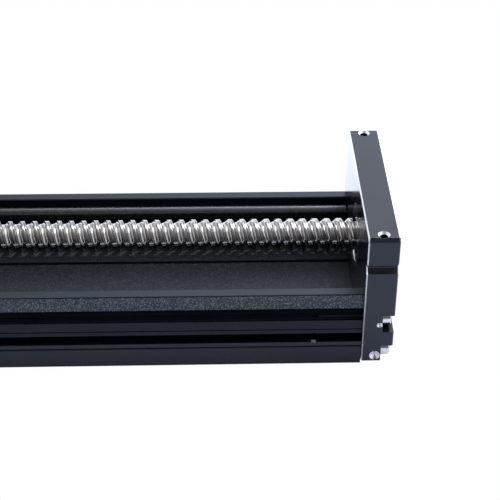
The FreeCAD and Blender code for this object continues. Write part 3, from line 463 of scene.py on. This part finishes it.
# ---- ball screw, in millimetres ----
PITCH = 4.0
STARTS = 2
THREAD = (-151.0, 149.0)   # the thread's two ends along X
GROOVE_R = 1.30
BALL_CIRCLE = 6.1          # radius at which the balls' middles run
EDGE_ROUND = 0.16          # how far the land's edge blends into the groove
SEAM_DEPTH = 0.05          # the fold that thread rolling leaves along the middle of the land
SEAM_HALF = 0.11
PROFILE_STEPS = 36         # columns in one pitch
ROUND_STEPS = 48           # rows round the screw
COLLAR_R = 4.7
JOURNAL_R = 4.0
CLIP_GROOVE_R = 3.7
CLIP_PLAY = 0.05           # how much wider the circlip's groove is than the circlip, at each side
DRIVE_SEAT_R = 5.0
DRIVE_SEAT_END = -193.0
SHAFT_CHAMFER = 0.5
SCREW_JOIN_DISTANCE = 0.0005
SCREW_SHORTEST_EDGE = 0.0002
SCREW_SHARP = math.radians(40)


def thread_radius(s):
    """Radius of the thread at axial distance s from a groove's middle, s within half a pitch."""
    land = SCREW_R - SEAM_DEPTH * math.exp(-(((PITCH / 2 - abs(s)) / SEAM_HALF) ** 2))
    inside = max(GROOVE_R ** 2 - s ** 2, 0)
    groove = BALL_CIRCLE - math.sqrt(inside)
    meet = max(EDGE_ROUND - abs(land - groove), 0) / EDGE_ROUND
    return min(land, groove) - meet ** 2 * EDGE_ROUND / 4


def screw_mesh():
    """Journals and thread as one grid: rows round the axis, and columns that follow the helix."""
    bearing_x = low("support_bearing_inner_ring").x
    clip_left = low("support_circlip").x - CLIP_PLAY
    clip_right = high("support_circlip").x + CLIP_PLAY
    left, right = low("screw_shaft").x, high("screw_shaft").x
    before = [
        (left, 0),
        (left, JOURNAL_R - SHAFT_CHAMFER),
        (left + SHAFT_CHAMFER, JOURNAL_R),
        (DRIVE_SEAT_END, JOURNAL_R),
        (DRIVE_SEAT_END, DRIVE_SEAT_R),
        (THREAD[0], DRIVE_SEAT_R),
    ]
    after = [
        (THREAD[1], COLLAR_R),
        (bearing_x, COLLAR_R),
        (bearing_x, JOURNAL_R),
        (clip_left, JOURNAL_R),
        (clip_left, CLIP_GROOVE_R),
        (clip_right, CLIP_GROOVE_R),
        (clip_right, JOURNAL_R),
        (right, JOURNAL_R),
        (right, 0),
    ]
    columns = int((THREAD[1] - THREAD[0]) / PITCH + STARTS + 1) * PROFILE_STEPS
    verts = []
    for i in range(ROUND_STEPS + 1):     # the last row meets the first, a whole turn of helix later
        turn = i / ROUND_STEPS
        y, z = math.cos(2 * math.pi * turn), math.sin(2 * math.pi * turn)
        section = list(before)
        for k in range(columns + 1):
            along = (k / PROFILE_STEPS + STARTS * (turn - 1)) * PITCH
            x = min(max(THREAD[0] + along, THREAD[0]), THREAD[1])
            s = (x - THREAD[0] - turn * STARTS * PITCH + PITCH / 2) % PITCH - PITCH / 2
            section.append((x, thread_radius(s)))
        section += after
        verts += [(x * MM, r * y * MM, (SCREW_Z + r * z) * MM) for x, r in section]
    width = len(verts) // (ROUND_STEPS + 1)
    faces = []
    for i in range(ROUND_STEPS):
        a, b = i * width, (i + 1) * width
        faces += [(a + k, b + k, b + k + 1, a + k + 1) for k in range(width - 1)]
    mesh = bpy.data.meshes.new("screw_shaft_finish")
    shape = bmesh.new()
    made = [shape.verts.new(v) for v in verts]
    for face in faces:
        shape.faces.new([made[k] for k in face])
    bmesh.ops.remove_doubles(shape, verts=shape.verts, dist=SCREW_JOIN_DISTANCE * MM)
    bmesh.ops.dissolve_degenerate(shape, edges=shape.edges, dist=SCREW_SHORTEST_EDGE * MM)
    bmesh.ops.recalc_face_normals(shape, faces=shape.faces)
    shape.to_mesh(mesh)
    shape.free()
    mesh.polygons.foreach_set("use_smooth", [True] * len(mesh.polygons))
    mesh.set_sharp_from_angle(angle=SCREW_SHARP)
    return mesh


# ---- rail, end plate and drive block, in millimetres ----
RAIL_EDGE = 0.15                 # the soft edges' widths
PLATE_EDGE = 0.12
FRONT_HOLE_X = 134.5             # the hole in the front slot
FRONT_HOLE_R = 2.2
FRONT_HOLE_Y = -30.5             # the hole's rim is in front of this
FRONT_HOLE_Z = (8.5, 13.3)
COVE_Z = (17.7, 21.2)
COVE_Y = 29.9
BAND_Z = (12.7, 17.6)            # the outer face between the slot and the cove
BAND_Y = 32
GRAINED_DEPTH = (0.2, 5.4)       # below the wall's top
GRAINED_Y = 30
FLOOR_Y = 27
FLOOR_TOP = 10
GROOVE_Z = (36.3, 39.9)          # the groove across a plate's side
GROOVE_Y = 32.2
BREAKOUT_Y = 32.5                # the places where a screw pocket breaks out of the side
BREAKOUT_TOP = 20
BREAKOUT_X = (2, 8)              # from the plate's inner face
BARE_EDGE = 0.45                 # width of the bare strip round the inner face
BOTTOM_MIDDLE = 20               # the bare strip leaves out the middle of the underside
COVER_EDGE_Z = 48.5              # the cover holes' countersinks
COVER_EDGE_Y = 33


def within(value, span):
    return span[0] < value < span[1]


def paint_faces(mesh, rules):
    """Gives each face the index of the first rule it meets; a rule reads its centre and normal."""
    for face in mesh.polygons:
        centre = face.center / MM
        for index, rule in rules:
            if rule(centre, face.normal):
                face.material_index = index
                break


def in_front_hole(c, n):
    near = abs(c.x - FRONT_HOLE_X) < FRONT_HOLE_R and c.y < FRONT_HOLE_Y
    return near and within(c.z, FRONT_HOLE_Z) and abs(n.y) < 0.9


# the cove's faces get the barely reflecting copy, which paints shade into them
def in_cove(c, n):
    return abs(c.y) > COVE_Y and within(c.z, COVE_Z)


def under_cove(c, n):
    return abs(c.y) > BAND_Y and within(c.z, BAND_Z)


def on_grained_side(c, n):
    return abs(c.y) > GRAINED_Y and within(WALL_TOP - c.z, GRAINED_DEPTH) and abs(n.y) > 0.9


def on_channel_floor(c, n):
    return abs(c.y) < FLOOR_Y and c.z < FLOOR_TOP and n.z > 0.9


def add_rail(materials):
    mesh = soft_edged_copy("base_rail", RAIL_EDGE)
    keys = ("rail", "rail_floor", "rail_grain_and_glints", "rail_shade", "rail_cove", "cut")
    stand_for("base_rail", mesh, *[materials[key] for key in keys])
    paint_faces(mesh, [
        (5, in_front_hole),
        (4, in_cove),
        (3, under_cove),
        (2, on_grained_side),
        (1, on_channel_floor),
    ])


def add_plate(node, inner_x, materials):
    """The end plate or drive block, with bare metal where its inner edge and its holes are cut, and painted
    shade, flat black, in the groove across each side.
    """

    # painted shade: the groove across each side is painted flat black
    def in_side_groove(c, n):
        return within(c.z, GROOVE_Z) and abs(c.y) > GROOVE_Y and abs(n.y) < 0.999 and abs(n.x) < 0.5

    def in_breakout(c, n):
        beside = abs(c.y) > BREAKOUT_Y and c.z < BREAKOUT_TOP and within(abs(c.x - inner_x), BREAKOUT_X)
        return beside and abs(n.y) < 0.97 and abs(n.x) > 0.05

    def on_inner_edge(c, n):
        outside = abs(c.y) + abs(c.z) > BOTTOM_MIDDLE
        return outside and abs(c.x - inner_x) < BARE_EDGE and within(abs(n.x), (0.55, 0.95))

    def on_cover_countersink(c, n):
        near = c.z > COVER_EDGE_Z and abs(c.y) < COVER_EDGE_Y
        return near and within(n.z, (0.3, 0.95)) and abs(n.x) + abs(n.y) > 0.3

    mesh = soft_edged_copy(node, PLATE_EDGE)
    stand_for(node, mesh, materials["plate"], materials["bare"], materials["gap"])
    paint_faces(mesh, [
        (2, in_side_groove),
        (1, in_breakout),
        (1, on_inner_edge),
        (1, on_cover_countersink),
    ])


def add_end_screws(materials):
    """The end plate's screws, with painted shade: shanks painted black where they cross the rail's cove, so
    they show no reflection there.
    """
    mesh = nodes["end_plate_screws"].data.copy()
    stand_for("end_plate_screws", mesh, materials["bright"], materials["gap"])
    # painted shade: the shanks left of the plate are painted black
    paint_faces(mesh, [(1, lambda c, n: c.x < PLATE_LEFT)])


# ---- make everything ----
add_camera()
scene.view_settings.view_transform = "Standard"
add_world()
add_top_light()
add_floor()
materials = make_materials()
paint_nodes(materials)
stand_for("screw_shaft", screw_mesh(), materials["screw"])
add_rail(materials)
add_plate("end_plate", PLATE_LEFT, materials)
add_plate("drive_block", BLOCK_RIGHT, materials)
add_end_screws(materials)
